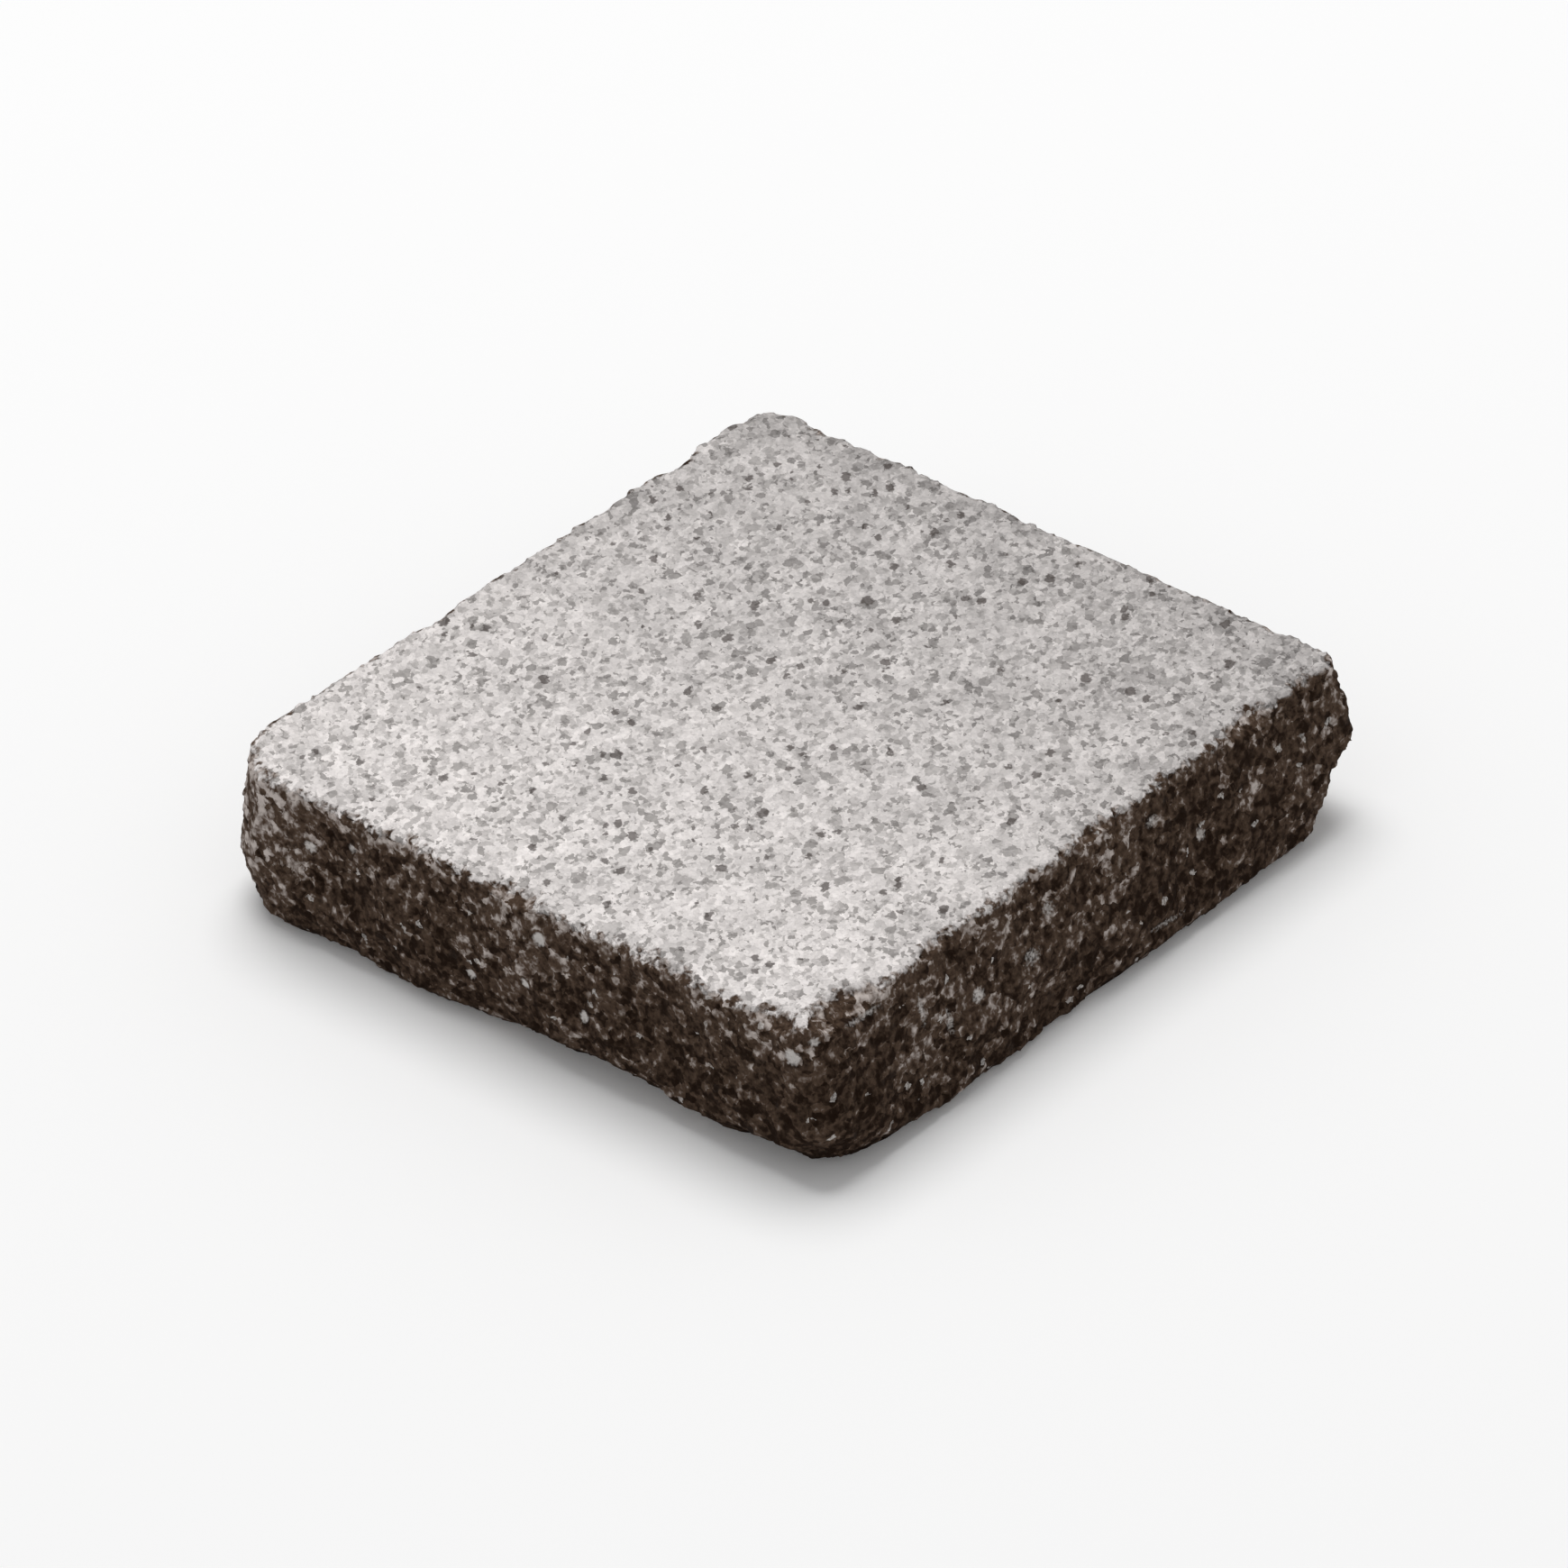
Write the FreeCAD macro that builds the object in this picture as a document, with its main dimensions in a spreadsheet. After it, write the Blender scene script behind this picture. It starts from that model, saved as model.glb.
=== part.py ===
import FreeCAD, Part
import os

import Sketcher
from FreeCAD import Vector

# Split granite sett: one block, dressed flat on its head and split on its four sides.
# Millimetres, +Z up, origin at the middle of the foot, which is the face that it is bedded on.
# Each side is named by where it lies: front is -Y, right is +X, back is +Y and left is -X.

NODE = "sett"

# The head is a four-sided figure that is nearly a rectangle. Each of its corners has its own
# small offset from the corner of the nominal rectangle.
SIZES = {
    "length": (100.0, "nominal size of the head along X"),
    "width": (104.0, "nominal size of the head along Y"),
    "thickness": (23.0, "head to foot"),
    "front_left_x": (1.4, "front left corner of the head, off the nominal corner"),
    "front_left_y": (-0.9, "the same along Y"),
    "front_right_x": (3.1, "front right corner"),
    "front_right_y": (1.0, "the same along Y"),
    "back_right_x": (-2.3, "back right corner"),
    "back_right_y": (1.2, "the same along Y"),
    "back_left_x": (-1.8, "back left corner"),
    "back_left_y": (-0.3, "the same along Y"),
    "front_left_round": (10.0, "plan radius of the front left corner, head to belly"),
    "front_right_round": (4.5, "plan radius of the front right corner"),
    "back_right_round": (1.5, "plan radius of the back right corner"),
    "back_left_round": (4.0, "plan radius of the back left corner"),
    "front_left_foot_round": (9.0, "plan radius of the front left corner, heel to foot"),
    "front_right_foot_round": (13.0, "plan radius of the front right corner there"),
    "back_right_foot_round": (4.5, "plan radius of the back right corner there"),
    "back_left_foot_round": (9.0, "plan radius of the back left corner there"),
    "arris_break": (0.5, "bevel that is worn onto the edge round the head"),
    "belly_height": (8.0, "height at which the split sides stand furthest out"),
    "belly_front": (0.9, "how far the front stands out of the arris at the belly"),
    "belly_right": (2.8, "the same on the right"),
    "belly_back": (1.2, "the same at the back"),
    "belly_left": (2.2, "the same on the left"),
    "heel_front": (0.0, "how far the front stands out of the arris just above the foot"),
    "heel_right": (2.6, "the same on the right"),
    "heel_back": (-0.4, "the same at the back"),
    "heel_left": (0.2, "the same on the left"),
    "foot_break": (1.8, "bevel round the foot"),
}

# Where each side starts and ends, seen from outside from left to right, and its outward direction.
SIDES = {
    "front": ("front_left", "front_right", -90),
    "right": ("front_right", "back_right", 0),
    "back": ("back_right", "back_left", 90),
    "left": ("back_left", "front_left", 180),
}

# Which way each corner lies from the middle, the two sides that meet there, in the order that
# the outline runs, and the direction that the corner points in.
CORNERS = {
    "front_left": (-1, -1, "left", "front", -135),
    "front_right": (1, -1, "front", "right", -45),
    "back_right": (1, 1, "right", "back", 45),
    "back_left": (-1, 1, "back", "left", 135),
}

# The levels at which the outline is drawn, from the head down: the height of each, how far a
# side stands out of the arris there, and which of its plan radii each corner has there.
LEVELS = {
    "head": ("sizes.thickness", "-sizes.arris_break", "round"),
    "arris": ("sizes.thickness - sizes.arris_break", "0", "round"),
    "belly": ("sizes.belly_height", "sizes.belly_{side}", "round"),
    "heel": ("sizes.foot_break", "sizes.heel_{side}", "foot_round"),
    "foot": ("0", "sizes.heel_{side} - sizes.foot_break", "foot_round"),
}

# A flake scar is the hollow of a ball that stands outside the stone and bites into it.
# On a side it has: the side, what it bites into, its place along the side from 0 to 1, how far
# its direction tilts up from level, the ball's radius and how deep it bites.
SIDE_SCARS = {
    "front_arris_flake": ("front", "arris", 0.35, 50.0, 14.0, 0.8),
    "front_arris_nick": ("front", "arris", 0.505, 48.0, 9.0, 1.6),
    "front_arris_long": ("front", "arris", 0.755, 45.0, 40.0, 1.0),
    "front_arris_tip": ("front", "arris", 0.935, 48.0, 5.0, 1.9),
    "right_arris_lip": ("right", "arris", 0.075, 62.0, 12.0, 2.2),
    "right_arris_left": ("right", "arris", 0.24, 45.0, 7.0, 0.9),
    "right_arris_middle": ("right", "arris", 0.54, 50.0, 12.0, 0.9),
    "right_arris_right": ("right", "arris", 0.83, 48.0, 10.0, 1.6),
    "back_arris_left": ("back", "arris", 0.55, 50.0, 22.0, 0.7),
    "back_arris_right": ("back", "arris", 0.89, 45.0, 12.0, 0.9),
    "left_arris_left": ("left", "arris", 0.17, 48.0, 9.0, 1.2),
    "left_arris_right": ("left", "arris", 0.62, 45.0, 25.0, 0.8),
    "front_hollow_left": ("front", "belly", 0.22, 12.0, 36.0, 0.8),
    "front_hollow_middle": ("front", "belly", 0.47, -4.0, 52.0, 0.9),
    "front_hollow_right": ("front", "belly", 0.74, 10.0, 44.0, 0.8),
    "right_hollow_left": ("right", "belly", 0.20, 8.0, 40.0, 0.9),
    "right_hollow_middle": ("right", "belly", 0.46, -5.0, 56.0, 0.9),
    "right_hollow_right": ("right", "belly", 0.72, 12.0, 38.0, 0.8),
    "back_hollow_left": ("back", "belly", 0.24, -6.0, 46.0, 0.8),
    "back_hollow_middle": ("back", "belly", 0.50, 10.0, 58.0, 1.0),
    "back_hollow_right": ("back", "belly", 0.78, 4.0, 34.0, 0.8),
    "left_hollow_left": ("left", "belly", 0.27, 10.0, 48.0, 0.9),
    "left_hollow_middle": ("left", "belly", 0.52, -5.0, 40.0, 0.8),
    "left_hollow_right": ("left", "belly", 0.76, 8.0, 52.0, 0.8),
    "front_foot_scar": ("front", "foot", 0.67, -45.0, 200.0, 1.5),
    "front_foot_end": ("front", "foot", 0.95, -45.0, 60.0, 1.9),
    "right_foot_scar": ("right", "foot", 0.02, -45.0, 160.0, 1.7),
    "back_foot_scar": ("back", "foot", 0.62, -45.0, 26.0, 1.4),
    "left_foot_scar": ("left", "foot", 0.36, -45.0, 22.0, 1.3),
}
SIDE_SCAR_SIZES = ("along", "tilt", "ball", "bite")

# A corner scar points the way that its corner does, so it has no place along a side.
CORNER_SCARS = {
    "back_left_chip": ("back_left", "arris", 35.0, 14.0, 1.8),
    "back_right_spall": ("back_right", "foot", -12.0, 15.0, 5.2),
}
CORNER_SCAR_SIZES = ("tilt", "ball", "bite")

# What a scar bites into: the level whose outline it lies on, and its height.
BITES_INTO = {
    "arris": ("arris", "sizes.thickness"),
    "belly": ("belly", "sizes.belly_height"),
    "foot": ("foot", "0"),
}


def make_sheet(doc):
    """Writes every driving size into a spreadsheet, with its name as the cell's alias."""
    rows = [(name, value, note) for name, (value, note) in SIZES.items()]
    for scars, size_names in ((SIDE_SCARS, SIDE_SCAR_SIZES), (CORNER_SCARS, CORNER_SCAR_SIZES)):
        for scar, (place, edge, *values) in scars.items():
            for size, value in zip(size_names, values):
                rows.append((f"{scar}_{size}", value, f"flake scar, {place}, {edge}"))
    sheet = doc.addObject("Spreadsheet::Sheet", "sizes")
    for row, (name, value, note) in enumerate(rows, start=1):
        sheet.set(f"A{row}", name)
        sheet.set(f"B{row}", str(value))
        sheet.set(f"C{row}", note)
        sheet.setAlias(f"B{row}", name)
    doc.recompute()
    return sheet


def corner_place(level, corner):
    """The expressions for a corner's X and Y at a level, before it is rounded."""
    sign_x, sign_y, *sides, _ = CORNERS[corner]
    side_x = next(side for side in sides if side in ("left", "right"))
    side_y = next(side for side in sides if side in ("front", "back"))
    out = LEVELS[level][1]
    x = f"{sign_x} * (sizes.length / 2 + {out.format(side=side_x)}) + sizes.{corner}_x"
    y = f"{sign_y} * (sizes.width / 2 + {out.format(side=side_y)}) + sizes.{corner}_y"
    return x, y


def bind(sketch, name, constraint, expression):
    """Adds a dimension to a sketch, names it and ties it to the sheet."""
    index = sketch.addConstraint(constraint)
    sketch.renameConstraint(index, name)
    sketch.setExpression(f"Constraints.{name}", expression)


def draw_outline(body, sheet, level):
    """A sketch of the stone's outline at one level: four sides and four rounded corners.

    It is drawn on the nominal rectangle, and its dimensions then move it to its place.
    """
    sketch = body.newObject("Sketcher::SketchObject", f"{level}_outline")
    floor_plane = next(part for part in body.Origin.OriginFeatures if part.Role == "XY_Plane")
    sketch.AttachmentSupport = [(floor_plane, "")]
    sketch.MapMode = "FlatFace"
    height, _, rounding = LEVELS[level]
    sketch.setExpression("AttachmentOffset.Base.z", height)

    nominal = {}
    radii = {}
    for corner, (sign_x, sign_y, *_) in CORNERS.items():
        nominal[corner] = Vector(sign_x * sheet.length / 2, sign_y * sheet.width / 2, 0)
        radii[corner] = sheet.get(f"{corner}_{rounding}")

    lines = {}
    for side, (start, end, _) in SIDES.items():
        along = (nominal[end] - nominal[start]).normalize()
        line_start = nominal[start] + along * radii[start]
        line_end = nominal[end] - along * radii[end]
        lines[side] = sketch.addGeometry(Part.LineSegment(line_start, line_end))

    for corner, (_, _, before, after, _) in CORNERS.items():
        sharp = sketch.addGeometry(Part.Point(nominal[corner]), True)
        places = zip("XY", nominal[corner], corner_place(level, corner))
        for axis, value, expression in places:
            distance = Sketcher.Constraint(f"Distance{axis}", -1, 1, sharp, 1, value)
            bind(sketch, f"{corner}_{axis}", distance, expression)
        for side in (before, after):
            sketch.addConstraint(Sketcher.Constraint("PointOnObject", sharp, 1, lines[side]))

        start = sketch.getPoint(lines[before], 2)
        end = sketch.getPoint(lines[after], 1)
        crown = (start + end) * 0.5 + (nominal[corner] * 2 - start - end) * 0.2
        arc = sketch.addGeometry(Part.Arc(start, crown, end))
        sketch.addConstraint(Sketcher.Constraint("Tangent", lines[before], 2, arc, 1))
        sketch.addConstraint(Sketcher.Constraint("Tangent", arc, 2, lines[after], 1))
        radius = Sketcher.Constraint("Radius", arc, radii[corner])
        bind(sketch, f"{corner}_radius", radius, f"sizes.{corner}_{rounding}")
    return sketch


def loft_block(body, outlines):
    """The block before any flake is off: straight from each outline to the next, head to foot."""
    block = body.newObject("PartDesign::AdditiveLoft", "split_block")
    block.Profile = outlines[0]
    block.Sections = outlines[1:]
    block.Ruled = True
    return block


def knock_off(body, name, height, spot, heading):
    """Takes one flake off at a spot, given as the expressions for its X and Y."""
    ball, bite, tilt = (f"sizes.{name}_{size}" for size in ("ball", "bite", "tilt"))
    reach = f"({ball} - {bite})"
    place = {
        "x": f"{spot[0]} + {reach} * cos({tilt}) * cos({heading})",
        "y": f"{spot[1]} + {reach} * cos({tilt}) * sin({heading})",
        "z": f"{height} + {reach} * sin({tilt})",
    }
    scar = body.newObject("PartDesign::SubtractiveSphere", name)
    scar.setExpression("Radius", ball)
    for axis, expression in place.items():
        scar.setExpression(f"Placement.Base.{axis}", expression)


def knock_off_side(body, name):
    """A flake off a side, at its place along the line between the side's two corners."""
    side, edge = SIDE_SCARS[name][:2]
    level, height = BITES_INTO[edge]
    start, end, heading = SIDES[side]
    along = f"sizes.{name}_along"
    ends = zip(corner_place(level, start), corner_place(level, end))
    spot = [f"(1 - {along}) * ({first}) + {along} * ({last})" for first, last in ends]
    knock_off(body, name, height, spot, heading)


def knock_off_corner(body, name):
    """A flake off a corner, measured from where the two sides would meet."""
    corner, edge = CORNER_SCARS[name][:2]
    level, height = BITES_INTO[edge]
    knock_off(body, name, height, corner_place(level, corner), CORNERS[corner][-1])


def check(doc, body):
    """Stops the build if an object failed, a flake is missing or the stone isn't one solid."""
    for item in doc.Objects:
        if "Invalid" in item.State or "Error" in item.State:
            raise RuntimeError(f"{item.Label} failed: {item.State}")
    shape = body.Shape
    if shape.isNull() or not shape.isValid() or len(shape.Solids) != 1:
        raise RuntimeError(f"{body.Label} isn't one valid solid")
    hollows = [face for face in shape.Faces if isinstance(face.Surface, Part.Sphere)]
    scars = len(SIDE_SCARS) + len(CORNER_SCARS)
    if len(hollows) < scars:
        raise RuntimeError(f"{scars - len(hollows)} flake scars took nothing off")


def build():
    doc = FreeCAD.newDocument("granite_sett")
    sheet = make_sheet(doc)
    body = doc.addObject("PartDesign::Body", "Body")
    body.Label = NODE

    outlines = [draw_outline(body, sheet, level) for level in LEVELS]
    doc.recompute()
    loft_block(body, outlines)
    doc.recompute()

    for name in SIDE_SCARS:
        knock_off_side(body, name)
    for name in CORNER_SCARS:
        knock_off_corner(body, name)
    doc.recompute()

    # The outline is uneven, so the stone moves until the middle of its box is over the origin.
    box = body.Shape.optimalBoundingBox()
    body.Placement.Base = Vector(-box.Center.x, -box.Center.y, 0)
    doc.recompute()
    check(doc, body)

    os.makedirs("parts", exist_ok=True)
    shape = body.Shape
    shape.exportStep(f"parts/{NODE}.step")
    print(f"{NODE}: {box.XLength:.1f} x {box.YLength:.1f} x {box.ZLength:.1f} mm")
    print(f"moved by {body.Placement.Base.x:.2f}, {body.Placement.Base.y:.2f} mm")
    print(f"{shape.Volume / 1000:.1f} cm3, {len(shape.Faces)} faces")


build()
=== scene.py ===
import math

import bmesh
import bpy
import numpy as np
from bpy.props import FloatProperty, FloatVectorProperty, IntProperty, PointerProperty
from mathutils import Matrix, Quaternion, Vector, kdtree, noise


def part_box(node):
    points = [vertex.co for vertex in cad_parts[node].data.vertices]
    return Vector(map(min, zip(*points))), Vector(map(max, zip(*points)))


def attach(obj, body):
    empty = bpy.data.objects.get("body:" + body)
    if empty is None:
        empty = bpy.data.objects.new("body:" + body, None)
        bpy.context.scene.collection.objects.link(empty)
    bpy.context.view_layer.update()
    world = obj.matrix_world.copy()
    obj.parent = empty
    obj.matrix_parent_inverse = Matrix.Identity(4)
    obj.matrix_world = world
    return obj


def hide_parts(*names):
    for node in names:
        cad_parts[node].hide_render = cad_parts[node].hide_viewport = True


# The finish of one split granite sett: a head that is dressed flat and pale, four dark sides that
# were split, and a broken arris between them. Metres, +Z up, foot on the floor at Z 0.
# Each side is named by where it lies: front is -Y, right is +X, back is +Y and left is -X.

bl_info = {
    "name": "Granite sett",
    "version": (1, 0, 0),
    "blender": (4, 5, 0),
    "location": "3D View > Sidebar > Sett",
    "description": "Cuts a split granite sett's relief, gives it its stone and sets it on a stage",
    "category": "Object",
}

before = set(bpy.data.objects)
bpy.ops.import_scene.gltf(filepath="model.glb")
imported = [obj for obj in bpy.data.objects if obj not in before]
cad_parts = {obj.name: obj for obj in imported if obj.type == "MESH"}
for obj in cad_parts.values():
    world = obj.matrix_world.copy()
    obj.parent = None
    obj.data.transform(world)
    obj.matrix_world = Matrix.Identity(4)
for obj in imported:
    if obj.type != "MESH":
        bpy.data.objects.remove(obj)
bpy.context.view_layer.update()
SETT_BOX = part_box("sett")

MM = 0.001
WELD_GAP = 0.001 * MM

# What lies this near to the level of the head or of the foot belongs to it.
HEAD_SKIN = 0.35 * MM
FOOT_SKIN = 0.4 * MM

# A side counts as the arris down to this depth below the head.
ARRIS_DEPTH = 2.5 * HEAD_SKIN

# The edge of the head lies this far from what counts as the arris.
ARRIS_GAP = 0.6 * MM

# The small chips along the arris start no deeper below the head than this.
RIM_HEIGHT = 0.8 * MM

# The upright part of a normal, over which a split side turns into the head or the foot.
TURN = (0.80, 0.97)

# Flakes and small chips start only where the surface is more of a side than this.
FLAKED_SIDE = 0.5
CHIPPED_SIDE = 0.2

# How far chance spreads the width and the depth of a scar, as shares of the usual one.
FLAKE_WIDTHS = (0.5, 1.9)
FLAKE_DEPTHS = (0.2, 1.0)
TOOTH_WIDTHS = (0.6, 1.8)
TOOTH_DEPTHS = (0.1, 1.0)

# This power makes shallow chips more frequent than deep ones.
MOSTLY_SHALLOW = 1.3

# How much a broken crystal's own height, its own tilt and the finer grain on it count for.
CRYSTAL_HEIGHT = 0.6
CRYSTAL_TILT = 0.5
CRYSTAL_GRAIN = 0.35

# Widths of the waves in the fine relief.
FINE_WIDTH = 0.9 * MM
PITTED_WIDTH = 2.2 * MM

# How much the level, the fine waves and the pitted waves count for in the relief of the head.
HEAD_WEIGHTS = (0.6, 0.5, 0.4)

# The relief of the foot is this share of the crystals on the sides.
FOOT_SHARE = 0.3

# How deep a fresh break goes.
FRESH_DEPTH = 0.35 * MM

# How fast a patch fades away from its middle.
PATCH_FADE = 0.5

# How many crystals or waves each kind of grain has to a millimetre.
LARGE_CRYSTALS = 0.95
SMALL_CRYSTALS = 1.80
BLACK_FLECKS = 0.55
SIDE_CRYSTALS = 0.66
SIDE_CHIPS = 1.25
WANDER = 1.1
FINE_GRAIN = 2.6
GRIT = 0.9
RAGGED = 0.8
MOTTLE = 0.22
BROAD = 0.09

# How far the crystals' edges wander, in millimetres.
WANDER_REACH = 1.3

# The way that the stone's rift runs, and how much longer the crystals are along it.
RIFT_ANGLE = math.radians(45)
RIFT_STRETCH = (1.0, 1.5, 1.0)

# Which crystals of the head are grey, and which of a side's chips get a painted glint, a pale spot
# that is a painted highlight. Each stop is a chance from 0 to 1, and how grey or bright a crystal is
# from there on.
LARGE_GREYS = ((0.0, 0.66), (0.06, 0.38), (0.20, 0.14), (0.48, 0.0))
SMALL_GREYS = ((0.0, 0.68), (0.06, 0.38), (0.20, 0.12), (0.42, 0.0))
PAINTED_GLINTS = ((0.0, 0.42), (0.006, 0.0))

# How high the relief stands that is finer than the mesh.
BUMP_HEIGHT = 0.28 * MM

# How far the camera sees, in metres.
CAMERA_REACH = 20.0

# Inputs of Blender's Mix node when it mixes colours: the node has a set for each kind of data.
MIX_FACTOR = 0
MIX_FIRST = 6
MIX_SECOND = 7
MIX_COLOUR = 2

# Small breaks that are fresher than the skin of the split sides, so that the stone shows pale. Their
# paleness is partly painted highlight, standing in for glints of light. Each has its place in
# millimetres, half its width, half its height, and how pale it is.
FRESH_BREAKS_AND_GLINTS = (
    (7, -52.5, 18.4, 0.9, 0.9, 0.9),
    (4, -53, 10.6, 0.7, 0.7, 0.8),
    (-6, -52.5, 7.6, 0.8, 0.6, 0.7),
    (14, -53, 9.8, 0.7, 0.9, 0.7),
    (-34, -52.5, 15, 0.9, 0.8, 0.7),
    (-26.5, -52.5, 17.8, 0.7, 0.7, 0.6),
    (49.3, -51.6, 18.4, 1.2, 1.0, 0.8),
    (51.6, -49.4, 20.6, 0.9, 0.7, 0.5),
    (52, -41, 20.3, 3.6, 0.5, 0.42),
    (52.3, -31.5, 16, 0.6, 3.0, 0.45),
    (52.8, -27, 12.2, 0.6, 2.4, 0.42),
    (52.5, -21.5, 13, 1.1, 1.1, 0.5),
    (52, -11, 13, 1.6, 1.3, 0.40),
    (51, -6.5, 17.3, 0.9, 1.5, 0.42),
    (51.4, 14, 4.5, 3.4, 0.5, 0.38),
    (49.5, 14.5, 18.8, 1.2, 0.8, 0.45),
    (49.7, 23, 12.4, 0.9, 0.9, 0.5),
)

# Broad patches of the split sides that are paler or, with a minus, darker. Each has its place in
# millimetres, half its width, half its height, and how much.
SIDE_TONE_PATCHES = (
    (-43, -52, 16, 10, 9, 0.16),
    (-25, -52, 11, 9, 7, -0.03),
    (3, -52, 16, 10, 6, 0.06),
    (28, -52, 13, 11, 7, -0.03),
    (46, -51, 18, 5, 4, 0.04),
    (51, -48, 9, 8, 8, -0.10),
    (52, -20, 11, 18, 8, 0.02),
    (51, 18, 13, 8, 7, -0.04),
    (50, 46, 4, 7, 4, 0.06),
    (50, 47, 19, 8, 5, -0.06),
)


class SettRelief(bpy.types.PropertyGroup):
    """How the surface of the stone is cut."""

    cell: FloatProperty(
        name="Cell",
        description="Width of one face of the mesh that the relief is cut in",
        default=0.48 * MM,
        unit="LENGTH",
    )
    most_triangles: IntProperty(
        name="Most triangles",
        description="The foot gets fewer and larger faces until the stone has no more than this",
        default=190000,
    )
    flake_width: FloatProperty(
        name="Flake width",
        description="Usual width of the shallow flake scars on a split side",
        default=6.0 * MM,
        unit="LENGTH",
    )
    flake_depth: FloatProperty(
        name="Flake depth",
        description="How deep the deepest of those scars goes",
        default=0.6 * MM,
        unit="LENGTH",
    )
    flake_cover: FloatProperty(
        name="Flake cover",
        description="How many flake scars there are to each square one flake wide",
        default=1.6,
    )
    crystal_width: FloatProperty(
        name="Crystal width",
        description="Width of the broken crystals that stand out of a split side",
        default=1.5 * MM,
        unit="LENGTH",
    )
    crystal_step: FloatProperty(
        name="Crystal step",
        description="How far one broken crystal stands out of the next",
        default=0.48 * MM,
        unit="LENGTH",
    )
    side_proud: FloatProperty(
        name="Side proud",
        description="How far the split sides move out, so that their relief lies about the CAD sides",
        default=0.38 * MM,
        unit="LENGTH",
    )
    broad_width: FloatProperty(
        name="Wave width",
        description="Width of the slow waves in a split side",
        default=9.0 * MM,
        unit="LENGTH",
    )
    broad_depth: FloatProperty(
        name="Wave depth",
        description="Depth of the slow waves in a split side",
        default=0.25 * MM,
        unit="LENGTH",
    )
    head_step: FloatProperty(
        name="Head relief",
        description="Depth of the fine relief on the dressed head",
        default=0.10 * MM,
        unit="LENGTH",
    )
    tooth_width: FloatProperty(
        name="Tooth width",
        description="Usual width of the small chips along the arris",
        default=1.9 * MM,
        unit="LENGTH",
    )
    tooth_depth: FloatProperty(
        name="Tooth depth",
        description="How far the deepest of those chips bites in",
        default=0.75 * MM,
        unit="LENGTH",
    )
    tooth_gap: FloatProperty(
        name="Tooth gap",
        description="Length of arris for each of those chips",
        default=1.5 * MM,
        unit="LENGTH",
    )
    mild_teeth: FloatProperty(
        name="Milder teeth",
        description="Share of that depth along the back and left arrises, which broke more cleanly",
        default=0.5,
        subtype="FACTOR",
    )
    seed: IntProperty(
        name="Seed",
        description="Another number gives another stone of the same kind",
        default=4,
    )


class SettColours(bpy.types.PropertyGroup):
    """The colours of the stone's minerals, and of the skin on its split sides, which is darkened
    partly with painted shade.
    """

    feldspar: FloatVectorProperty(
        name="Feldspar",
        description="Pale mineral that makes up most of the head",
        default=(0.785, 0.742, 0.725),
        subtype="COLOR",
        min=0.0,
        max=1.0,
    )
    quartz: FloatVectorProperty(
        name="Quartz",
        description="Grey glassy mineral of the head",
        default=(0.185, 0.172, 0.163),
        subtype="COLOR",
        min=0.0,
        max=1.0,
    )
    mica: FloatVectorProperty(
        name="Mica",
        description="Black flecks in the head",
        default=(0.056, 0.042, 0.036),
        subtype="COLOR",
        min=0.0,
        max=1.0,
    )
    # Painted shade: the skin and worn skin colours are partly the skin's own dark brown and partly
    # painted shade, which darkens the split sides.
    skin: FloatVectorProperty(
        name="Skin",
        description="Darkest part of the brown skin on the split sides",
        default=(0.017, 0.0086, 0.0048),
        subtype="COLOR",
        min=0.0,
        max=1.0,
    )
    worn_skin_and_shade: FloatVectorProperty(
        name="Worn skin",
        description="Skin that is worn thin on the crystals that stand out",
        default=(0.097, 0.0628, 0.0434),
        subtype="COLOR",
        min=0.0,
        max=1.0,
    )
    bare: FloatVectorProperty(
        name="Bare crystal",
        description="Crystals that show through the skin",
        default=(0.58, 0.515, 0.480),
        subtype="COLOR",
        min=0.0,
        max=1.0,
    )
    # This colour also paints the glints: painted highlights on chips of the split sides.
    fresh: FloatVectorProperty(
        name="Fresh break",
        description="Stone where a small piece broke off lately",
        default=(0.62, 0.585, 0.56),
        subtype="COLOR",
        min=0.0,
        max=1.0,
    )


class SettStage(bpy.types.PropertyGroup):
    """The floor, the light and the camera."""

    floor_colour: FloatVectorProperty(
        name="Floor",
        description="Colour of the floor",
        default=(0.95, 0.95, 0.95),
        subtype="COLOR",
        min=0.0,
        max=1.0,
    )
    floor_lift: FloatVectorProperty(
        name="Floor lift",
        description="Added to the floor where it is seen, which whitens it and lights nothing else",
        default=(0.06, 0.06, 0.06),
        subtype="COLOR",
        min=0.0,
        max=1.0,
    )
    floor_width: FloatProperty(
        name="Floor width",
        description="Width of the floor",
        default=8.0,
        unit="LENGTH",
    )
    lamp_power: FloatProperty(
        name="Lamp power",
        description="Power of the large soft lamp overhead",
        default=32.0,
        unit="POWER",
    )
    lamp_width: FloatProperty(
        name="Lamp width",
        description="Width of that lamp, a round one",
        default=1.7,
        unit="LENGTH",
    )
    lamp_place: FloatVectorProperty(
        name="Lamp",
        description="Where the lamp hangs. It faces the stone",
        default=(-0.5, 0.4, 2.2),
        subtype="TRANSLATION",
        unit="LENGTH",
    )
    room_light: FloatProperty(
        name="Room light",
        description="Strength of the even light from all round",
        default=0.42,
    )
    camera_place: FloatVectorProperty(
        name="Camera",
        description="Where the camera stands",
        default=(0.9722, -0.9478, 0.9154),
        subtype="TRANSLATION",
        unit="LENGTH",
    )
    camera_aim: FloatVectorProperty(
        name="Aim",
        description="The point that the camera looks at",
        default=(-0.0022, 0.0007, 0.0100),
        subtype="TRANSLATION",
        unit="LENGTH",
    )
    camera_roll: FloatProperty(
        name="Roll",
        description="How far the camera leans, seen from behind it",
        default=math.radians(-3.93),
        subtype="ANGLE",
    )
    camera_lens: FloatProperty(
        name="Lens",
        description="Focal length in millimetres, for a frame 36 mm wide",
        default=293.9,
    )


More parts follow.
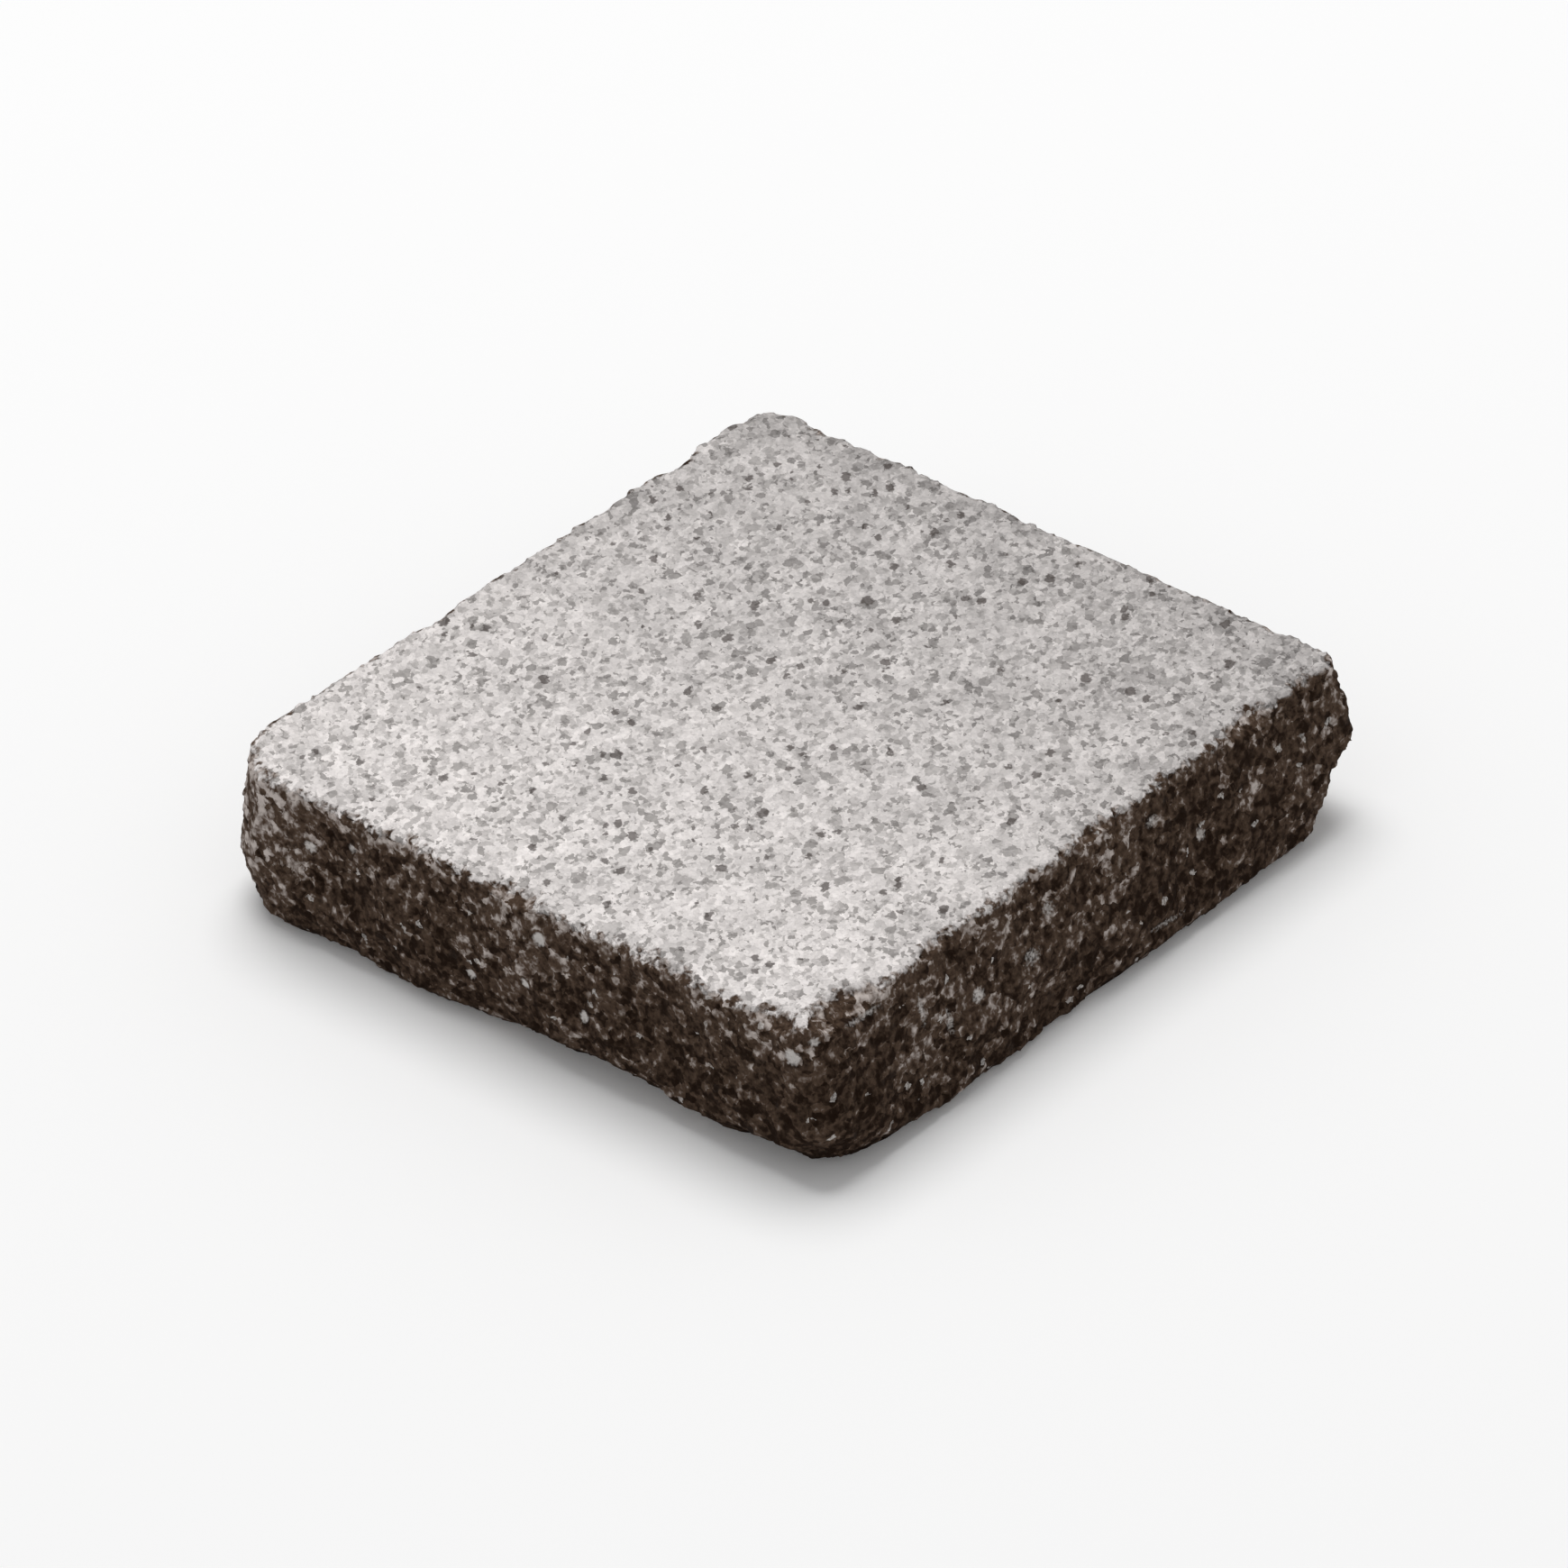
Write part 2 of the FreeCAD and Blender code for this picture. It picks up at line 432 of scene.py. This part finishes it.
class Value:
    """Something that varies over a surface. Arithmetic on it adds Math nodes."""

    def __init__(self, finish, socket):
        self.finish = finish
        self.socket = socket

    def output(self, name):
        """Another output of the node that this value comes from."""
        return Value(self.finish, self.socket.node.outputs[name])

    def __add__(self, other):
        return self.finish.math("ADD", self, other)

    def __radd__(self, other):
        return self.finish.math("ADD", other, self)

    def __sub__(self, other):
        return self.finish.math("SUBTRACT", self, other)

    def __rsub__(self, other):
        return self.finish.math("SUBTRACT", other, self)

    def __mul__(self, other):
        return self.finish.math("MULTIPLY", self, other)

    def __rmul__(self, other):
        return self.finish.math("MULTIPLY", other, self)


class Finish:
    """One material, and the one way that nodes are added to it."""

    def __init__(self, name):
        self.material = bpy.data.materials.new(name)
        self.material.use_nodes = True
        self.tree = self.material.node_tree
        self.tree.nodes.clear()

    def node(self, kind, settings=None, sockets=None, output=0):
        """Adds a node: first its settings, then the values or links of its sockets."""
        made = self.tree.nodes.new(kind)
        for name, value in (settings or {}).items():
            if name == "stops":
                self.set_stops(made.color_ramp, value)
            else:
                setattr(made, name, value)
        for name, value in (sockets or {}).items():
            if isinstance(value, Value):
                self.tree.links.new(value.socket, made.inputs[name])
            else:
                made.inputs[name].default_value = value
        if not made.outputs:
            return None
        return Value(self, made.outputs[output])

    def set_stops(self, ramp, stops):
        """Gives a ramp its interpolation and its stops, each a place from 0 to 1 and a grey."""
        ramp.interpolation, *places = stops
        while len(ramp.elements) < len(places):
            ramp.elements.new(1.0)
        for element, (place, grey) in zip(ramp.elements, places):
            element.position = place
            element.color = (grey, grey, grey, 1.0)

    def mark(self, name):
        """What the mesh says about its surface under that name."""
        return self.node("ShaderNodeAttribute", {"attribute_name": name}, output="Fac")

    def math(self, operation, *values):
        return self.node("ShaderNodeMath", {"operation": operation}, dict(enumerate(values)))

    def vector_math(self, operation, *values, scale=None):
        sockets = dict(enumerate(values))
        if scale is not None:
            sockets["Scale"] = scale
        return self.node("ShaderNodeVectorMath", {"operation": operation}, sockets)

    def noise(self, place, scale, detail, output="Fac"):
        """Smooth noise from 0 to 1."""
        sockets = {"Vector": place, "Scale": scale, "Detail": detail}
        return self.node("ShaderNodeTexNoise", sockets=sockets, output=output)

    def crystals(self, place, scale):
        """A chance value from 0 to 1 for each crystal. Its node gives two more of them."""
        sockets = {"Vector": place, "Scale": scale}
        chance = self.node("ShaderNodeTexVoronoi", sockets=sockets, output="Color")
        return self.node("ShaderNodeSeparateColor", sockets={"Color": chance}, output="Red")

    def mix(self, factor, first, second):
        """A colour that goes from the first to the second as the factor goes from 0 to 1."""
        sockets = {MIX_FACTOR: factor}
        for socket, colour in ((MIX_FIRST, first), (MIX_SECOND, second)):
            sockets[socket] = colour if isinstance(colour, Value) else (*colour, 1.0)
        return self.node("ShaderNodeMix", {"data_type": "RGBA"}, sockets, MIX_COLOUR)

    def steps(self, value, *stops, kind="CONSTANT"):
        """Turns a value into greys: each stop is a place from 0 to 1 and the grey from there on."""
        return self.node("ShaderNodeValToRGB", {"stops": (kind, *stops)}, {"Fac": value})

    def rise(self, value, low, high):
        """0 below low, 1 above high, and smooth in between."""
        settings = {"interpolation_type": "SMOOTHSTEP"}
        sockets = {"Value": value, "From Min": low, "From Max": high}
        return self.node("ShaderNodeMapRange", settings, sockets)


def after_modifier(mesh, kind, settings, chosen=None):
    """The mesh as one modifier leaves it. It can act on chosen vertices only."""
    blank = bpy.data.objects.new("blank", mesh)
    bpy.context.scene.collection.objects.link(blank)
    modifier = blank.modifiers.new(kind, kind)
    for name, value in settings.items():
        setattr(modifier, name, value)
    if chosen is not None:
        group = blank.vertex_groups.new(name="chosen")
        group.add(chosen.tolist(), 1.0, "REPLACE")
        modifier.vertex_group = group.name
    evaluated = blank.evaluated_get(bpy.context.evaluated_depsgraph_get())
    made = bpy.data.meshes.new_from_object(evaluated)
    bpy.data.objects.remove(blank)
    bpy.data.meshes.remove(mesh)
    return made


def even_mesh(node, cell):
    """The node's shape as a mesh of even faces, one cell wide."""
    shape = bmesh.new()
    shape.from_mesh(node.data)
    bmesh.ops.remove_doubles(shape, verts=shape.verts, dist=WELD_GAP)
    mesh = bpy.data.meshes.new("even_sett")
    shape.to_mesh(mesh)
    shape.free()
    return after_modifier(mesh, "REMESH", {"mode": "VOXEL", "voxel_size": cell})


def thin_out_foot(mesh, most_triangles):
    """Makes the faces of the foot fewer and larger until the mesh has no more than that many."""
    triangles = 2 * len(mesh.polygons)
    if triangles <= most_triangles:
        return mesh
    places = read_vectors(mesh.vertices, "co")
    on_foot = np.flatnonzero(places[:, 2] < FOOT_SKIN)
    mesh = after_modifier(mesh, "DECIMATE", {"ratio": most_triangles / triangles}, on_foot)
    lay_on_floor(mesh, read_vectors(mesh.vertices, "co"))
    return mesh


def lay_on_floor(mesh, places):
    """Puts the mesh's vertices in those places, but none of them under the floor."""
    places[:, 2] = np.maximum(places[:, 2], 0.0)
    mesh.vertices.foreach_set("co", places.astype(np.float32).ravel())
    mesh.update()


def read_vectors(items, name):
    """One vector of each item, as the rows of an array."""
    values = np.empty(len(items) * 3, np.float32)
    items.foreach_get(name, values)
    return values.reshape(-1, 3).astype(float)


def smooth_rise(values, low, high):
    """0 below low, 1 above high, and smooth in between."""
    share = np.clip((values - low) / (high - low), 0.0, 1.0)
    return share * share * (3.0 - 2.0 * share)


def swell(points, width):
    """Smooth noise from -1 to 1, with waves about that wide."""
    return np.array([noise.noise(point) for point in (points / width).tolist()])


def broken_crystals(points, width):
    """Steps from 0 to 1: each crystal has a height and a tilt of its own."""
    heights = []
    for point in (points / width).tolist():
        _, seeds = noise.voronoi(point)
        nearest = seeds[0]
        tilt = noise.cell_vector(nearest)
        away = Vector(point) - nearest
        heights.append(CRYSTAL_HEIGHT * tilt.x + CRYSTAL_TILT * away.dot(tilt))
    return np.array(heights)


def flake_scars(points, centres, widths, depths):
    """How deep shallow bowls go at each point. Where bowls meet they leave a ridge."""
    depth = np.zeros(len(points))
    for centre, width, deep in zip(centres, widths, depths):
        away = np.sum((points - centre) ** 2, axis=1) / (width / 2) ** 2
        np.maximum(depth, deep * (1.0 - away), out=depth)
    return depth


def inside_patches(points, patches):
    """0 outside the patches, and in the middle of each as much as the patch says."""
    total = np.zeros(len(points))
    for *centre, half_width, half_height, amount in patches:
        reach = np.array([half_width, half_width, half_height]) * MM
        away = np.sum(((points - np.array(centre) * MM) / reach) ** 2, axis=1)
        total += amount * np.maximum(1.0 - PATCH_FADE * away, 0.0)
    return total


def distance_over_arris(points, below_head):
    """How far each point lies over the arris, down a side, or short of it, with a minus."""
    on_head = below_head < HEAD_SKIN
    arris = points[~on_head & (below_head < ARRIS_DEPTH)]
    tree = kdtree.KDTree(len(arris))
    for index, point in enumerate(arris.tolist()):
        tree.insert(point, index)
    tree.balance()
    distance = below_head - HEAD_SKIN
    distance[on_head] = [ARRIS_GAP - tree.find(point)[2] for point in points[on_head].tolist()]
    return distance


def cut_relief(mesh, relief):
    """Cuts the split sides, the broken arris and the fine relief of the head into the mesh."""
    dice = np.random.default_rng(relief.seed)
    points = read_vectors(mesh.vertices, "co")
    normals = read_vectors(mesh.vertex_normals, "vector")
    below_head = SETT_BOX[1].z - points[:, 2]
    on_head = smooth_rise(normals[:, 2], *TURN)
    on_foot = smooth_rise(-normals[:, 2], *TURN)
    on_side = 1.0 - on_head - on_foot

    side_points = points[on_side > FLAKED_SIDE]
    side_area = len(side_points) * relief.cell ** 2
    flakes = int(relief.flake_cover * side_area / relief.flake_width ** 2)
    centres = side_points[dice.integers(0, len(side_points), flakes)]
    widths = relief.flake_width * dice.uniform(*FLAKE_WIDTHS, flakes)
    depths = relief.flake_depth * dice.uniform(*FLAKE_DEPTHS, flakes)
    flaked = flake_scars(points, centres, widths, depths)

    rim_points = points[(below_head < RIM_HEIGHT) & (on_side > CHIPPED_SIDE)]
    box_size = SETT_BOX[1] - SETT_BOX[0]
    teeth = int(2 * (box_size.x + box_size.y) / relief.tooth_gap)
    centres = rim_points[dice.integers(0, len(rim_points), teeth)]
    widths = relief.tooth_width * dice.uniform(*TOOTH_WIDTHS, teeth)
    depths = relief.tooth_depth * dice.uniform(*TOOTH_DEPTHS, teeth) ** MOSTLY_SHALLOW
    front_or_right = centres[:, 0] > centres[:, 1]
    depths *= np.where(front_or_right, 1.0, relief.mild_teeth)
    bitten = flake_scars(points, centres, widths, depths)

    crystals = broken_crystals(points, relief.crystal_width)
    fine = swell(points, FINE_WIDTH)
    pitted = swell(points, PITTED_WIDTH)
    waves = relief.broad_depth * 0.5 * (1.0 + swell(points, relief.broad_width))
    # Fresh breaks, whose paleness is partly painted highlight.
    fresh = inside_patches(points, FRESH_BREAKS_AND_GLINTS)

    grain = relief.crystal_step * (crystals + CRYSTAL_GRAIN * fine)
    split = flaked + grain + waves - relief.side_proud
    level, fine_weight, pitted_weight = HEAD_WEIGHTS
    dressed = relief.head_step * (level + fine_weight * fine + pitted_weight * pitted)
    bedded = FOOT_SHARE * relief.crystal_step * crystals
    depth = on_side * split + on_head * dressed + on_foot * bedded + bitten + FRESH_DEPTH * fresh
    points -= normals * depth[:, None]
    lay_on_floor(mesh, points)

    # How far each point stands out. The finish paints proud crystals paler, partly as wear and partly
    # as painted light.
    proud = 1.0 - np.clip(crystals - CRYSTAL_GRAIN * fine, 0.0, 1.0)
    over_arris = distance_over_arris(points, SETT_BOX[1].z - points[:, 2]) / MM
    thin_skin = inside_patches(points, SIDE_TONE_PATCHES)
    marks = {"proud": proud, "fresh": fresh, "over_arris": over_arris, "thin_skin": thin_skin}
    for name, values in marks.items():
        attribute = mesh.attributes.new(name, "FLOAT", "POINT")
        attribute.data.foreach_set("value", values.astype(np.float32))


def granite(colours):
    """Grey granite: pale grain with dark flecks on the head, a dark skin on the split sides that is
    partly painted shade.
    """
    stone = Finish("granite")
    place = stone.node("ShaderNodeTexCoord", output="Object")
    spot = stone.vector_math("SCALE", place, scale=1 / MM)
    along_x = stone.node("ShaderNodeSeparateXYZ", sockets={"Vector": spot}, output="X")
    along_y = along_x.output("Y")
    height = along_x.output("Z")

    # The crystals' edges wander, and the crystals lie a little longer along the stone's rift.
    wander = stone.noise(spot, WANDER, 2.0, "Color")
    wander = stone.vector_math("SUBTRACT", wander, (0.5, 0.5, 0.5))
    wander = stone.vector_math("SCALE", wander, scale=WANDER_REACH)
    crooked = stone.node(
        "ShaderNodeMapping",
        {"vector_type": "TEXTURE"},
        {
            "Vector": stone.vector_math("ADD", spot, wander),
            "Rotation": (0.0, 0.0, RIFT_ANGLE),
            "Scale": RIFT_STRETCH,
        },
    )
    fine = stone.noise(spot, FINE_GRAIN, 3.0)
    grit = stone.noise(spot, GRIT, 2.0)
    mottle = stone.noise(spot, MOTTLE, 2.0)
    broad = stone.noise(spot, BROAD, 3.0)

    # Pale grain of the head, with grey crystals of two sizes. Here and below, the numbers in a sum
    # say how much each kind of grain counts for.
    large_pick = stone.crystals(crooked, LARGE_CRYSTALS)
    small_pick = stone.crystals(crooked, SMALL_CRYSTALS)
    large_grey = stone.steps(large_pick, *LARGE_GREYS)
    small_grey = stone.steps(small_pick, *SMALL_GREYS)
    greyness = 1 - (1 - large_grey) * (1 - small_grey)
    pale = stone.mix(greyness, colours.feldspar, colours.quartz)
    shade = 0.18 * large_pick.output("Green") + 0.16 * small_pick.output("Green")
    light = 0.797 + shade + 0.32 * (fine - 0.5) + 0.40 * (broad - 0.5) + 0.22 * (mottle - 0.5)

    # The head is a little darker towards the back and near its rim.
    over_arris = stone.mark("over_arris")
    light = light - 0.0040 * along_y - 0.0002 * along_x - 0.055 * stone.rise(over_arris, -8.0, 0.0)
    pale = stone.vector_math("SCALE", pale, scale=light)

    # Black flecks of the head.
    fleck = stone.node(
        "ShaderNodeTexVoronoi",
        sockets={"Vector": crooked, "Scale": BLACK_FLECKS},
        output="Distance",
    )
    fleck_size = stone.node(
        "ShaderNodeSeparateColor",
        sockets={"Color": fleck.output("Color")},
        output="Red",
    )
    black = 1 - stone.rise(fleck + 1.9 * fleck_size + 0.3 * (fine - 0.5), 0.36, 0.48)
    head_colour = stone.mix(0.75 * black, pale, colours.mica)

    # Dark skin of the split sides, worn down to the crystals here and there. Its darkness is partly
    # the skin's own colour and partly painted shade.
    side_pick = stone.crystals(crooked, SIDE_CRYSTALS)
    chip_pick = stone.crystals(crooked, SIDE_CHIPS)
    # Crystals that stand out are paler: partly wear of the skin, partly painted light, with painted
    # shade in the hollows.
    wear_and_shading = 0.28 * side_pick + 0.16 * chip_pick + 0.10 * stone.mark("proud") + 0.75 * (grit - 0.5)
    # The height term is painted shade: the split sides get a little darker towards the foot.
    wear_and_shading = 0.085 + wear_and_shading + stone.mark("thin_skin") + 0.25 * (broad - 0.5) + 0.003 * (height - 12)
    # The split sides are paler in a band just below the arris.
    wear_and_shading = wear_and_shading + 0.10 * (1 - stone.rise(over_arris, 0.4, 2.6))
    worn_and_shaded = stone.mix(stone.rise(wear_and_shading, 0.17, 0.54), colours.skin, colours.worn_skin_and_shade)
    worn_and_shaded = stone.mix(stone.rise(wear_and_shading, 0.46, 0.76), worn_and_shaded, colours.bare)
    # Painted highlights: a few chips are painted pale as glints.
    painted_glints = stone.steps(chip_pick.output("Blue"), *PAINTED_GLINTS)
    breaks_and_glints = stone.rise(stone.mark("fresh") + painted_glints + 0.7 * (fine - 0.5), 0.18, 0.62)
    side_colour = stone.mix(breaks_and_glints, worn_and_shaded, colours.fresh)

    # The ragged line where the head ends and the skin begins.
    ragged = stone.noise(spot, RAGGED, 4.0)
    off_head = stone.rise(over_arris + 3.4 * (ragged - 0.5), -0.1, 0.5)
    colour = stone.mix(off_head, head_colour, side_colour)

    # Relief that is finer than the mesh.
    head_lumps = 0.5 * small_pick.output("Green") + 0.8 * fine
    side_lumps = 0.3 * fine + 1.8 * grit + 0.8 * side_pick
    lumps = head_lumps + off_head * (side_lumps - head_lumps)
    bump = stone.node(
        "ShaderNodeBump",
        sockets={"Height": lumps, "Strength": 1.0, "Distance": BUMP_HEIGHT},
    )
    shader = stone.node(
        "ShaderNodeBsdfPrincipled",
        sockets={
            "Base Color": colour,
            "Roughness": 0.90 - 0.25 * black + 0.10 * (fine - 0.5),
            "Specular IOR Level": 0.06,
            "Normal": bump,
        },
    )
    stone.node("ShaderNodeOutputMaterial", sockets={"Surface": shader})
    return stone.material


def plain_floor(colour, lift):
    """A matt floor in one pale colour, whiter where it is seen than in the light that it gives."""
    floor = Finish("stage_floor")
    seen = floor.node("ShaderNodeLightPath", output="Is Camera Ray")
    seen = seen + seen.output("Is Glossy Ray") + seen.output("Is Transmission Ray")
    shader = floor.node(
        "ShaderNodeBsdfPrincipled",
        sockets={
            "Base Color": (*colour, 1.0),
            "Roughness": 0.9,
            "Specular IOR Level": 0.2,
            "Emission Color": floor.mix(seen, (0.0, 0.0, 0.0), lift),
            "Emission Strength": 1.0,
        },
    )
    floor.node("ShaderNodeOutputMaterial", sockets={"Surface": shader})
    return floor.material


class SETT_OT_dress_stone(bpy.types.Operator):
    """Cuts the relief into the stone and gives it its granite"""

    bl_idname = "sett.dress_stone"
    bl_label = "Dress the stone"

    def execute(self, context):
        relief = context.scene.sett_relief
        mesh = even_mesh(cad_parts["sett"], relief.cell)
        cut_relief(mesh, relief)
        mesh = thin_out_foot(mesh, relief.most_triangles)
        mesh.shade_smooth()
        mesh.name = "dressed_sett"
        mesh.materials.clear()
        mesh.materials.append(granite(context.scene.sett_colours))
        stone = bpy.data.objects.new("dressed_sett", mesh)
        context.scene.collection.objects.link(stone)
        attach(stone, "root")
        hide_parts("sett")
        return {"FINISHED"}


class SETT_OT_set_stage(bpy.types.Operator):
    """Lays the floor, hangs the lamp and stands the camera where the photograph was taken from"""

    bl_idname = "sett.set_stage"
    bl_label = "Set the stage"

    def execute(self, context):
        look = context.scene.sett_stage
        self.lay_floor(context, look)
        self.hang_lamp(context, look)
        self.light_room(context, look)
        self.stand_camera(context, look)
        context.scene.view_settings.view_transform = "Standard"
        return {"FINISHED"}

    def lay_floor(self, context, look):
        shape = bmesh.new()
        bmesh.ops.create_grid(shape, x_segments=1, y_segments=1, size=look.floor_width / 2)
        mesh = bpy.data.meshes.new("stage_floor")
        shape.to_mesh(mesh)
        shape.free()
        mesh.materials.append(plain_floor(look.floor_colour, look.floor_lift))
        floor = bpy.data.objects.new("stage_floor", mesh)
        context.scene.collection.objects.link(floor)

    def hang_lamp(self, context, look):
        lamp = bpy.data.lights.new("soft_lamp", "AREA")
        lamp.shape = "DISK"
        lamp.size = look.lamp_width
        lamp.energy = look.lamp_power
        holder = bpy.data.objects.new("soft_lamp", lamp)
        holder.location = look.lamp_place
        holder.rotation_mode = "QUATERNION"
        holder.rotation_quaternion = holder.location.to_track_quat("Z", "Y")
        context.scene.collection.objects.link(holder)

    def light_room(self, context, look):
        world = bpy.data.worlds.new("room")
        world.use_nodes = True
        background = world.node_tree.nodes["Background"]
        background.inputs["Color"].default_value = (1.0, 1.0, 1.0, 1.0)
        background.inputs["Strength"].default_value = look.room_light
        context.scene.world = world

    def stand_camera(self, context, look):
        view = bpy.data.cameras.new("photo_view")
        view.lens = look.camera_lens
        view.clip_end = CAMERA_REACH
        camera = bpy.data.objects.new("photo_view", view)
        camera.location = look.camera_place
        back = Vector(look.camera_place) - Vector(look.camera_aim)
        camera.rotation_mode = "QUATERNION"
        lean = Quaternion((0.0, 0.0, 1.0), look.camera_roll)
        camera.rotation_quaternion = back.to_track_quat("Z", "Y") @ lean
        context.scene.collection.objects.link(camera)
        context.scene.camera = camera


class SETT_PT_maker(bpy.types.Panel):
    """The stone and its stage, in the 3D view's sidebar"""

    bl_idname = "SETT_PT_maker"
    bl_label = "Granite sett"
    bl_space_type = "VIEW_3D"
    bl_region_type = "UI"
    bl_category = "Sett"

    def draw(self, context):
        for group in ("sett_relief", "sett_colours", "sett_stage"):
            column = self.layout.column(align=True)
            settings = getattr(context.scene, group)
            for name in settings.__annotations__:
                column.prop(settings, name)
        self.layout.operator(SETT_OT_dress_stone.bl_idname)
        self.layout.operator(SETT_OT_set_stage.bl_idname)


GROUPS = {"sett_relief": SettRelief, "sett_colours": SettColours, "sett_stage": SettStage}
CLASSES = (*GROUPS.values(), SETT_OT_dress_stone, SETT_OT_set_stage, SETT_PT_maker)


def register():
    for made in CLASSES:
        bpy.utils.register_class(made)
    for name, group in GROUPS.items():
        setattr(bpy.types.Scene, name, PointerProperty(type=group))


def unregister():
    for name in GROUPS:
        delattr(bpy.types.Scene, name)
    for made in reversed(CLASSES):
        bpy.utils.unregister_class(made)


def main():
    register()
    bpy.ops.sett.dress_stone()
    bpy.ops.sett.set_stage()


if __name__ == "__main__":
    main()
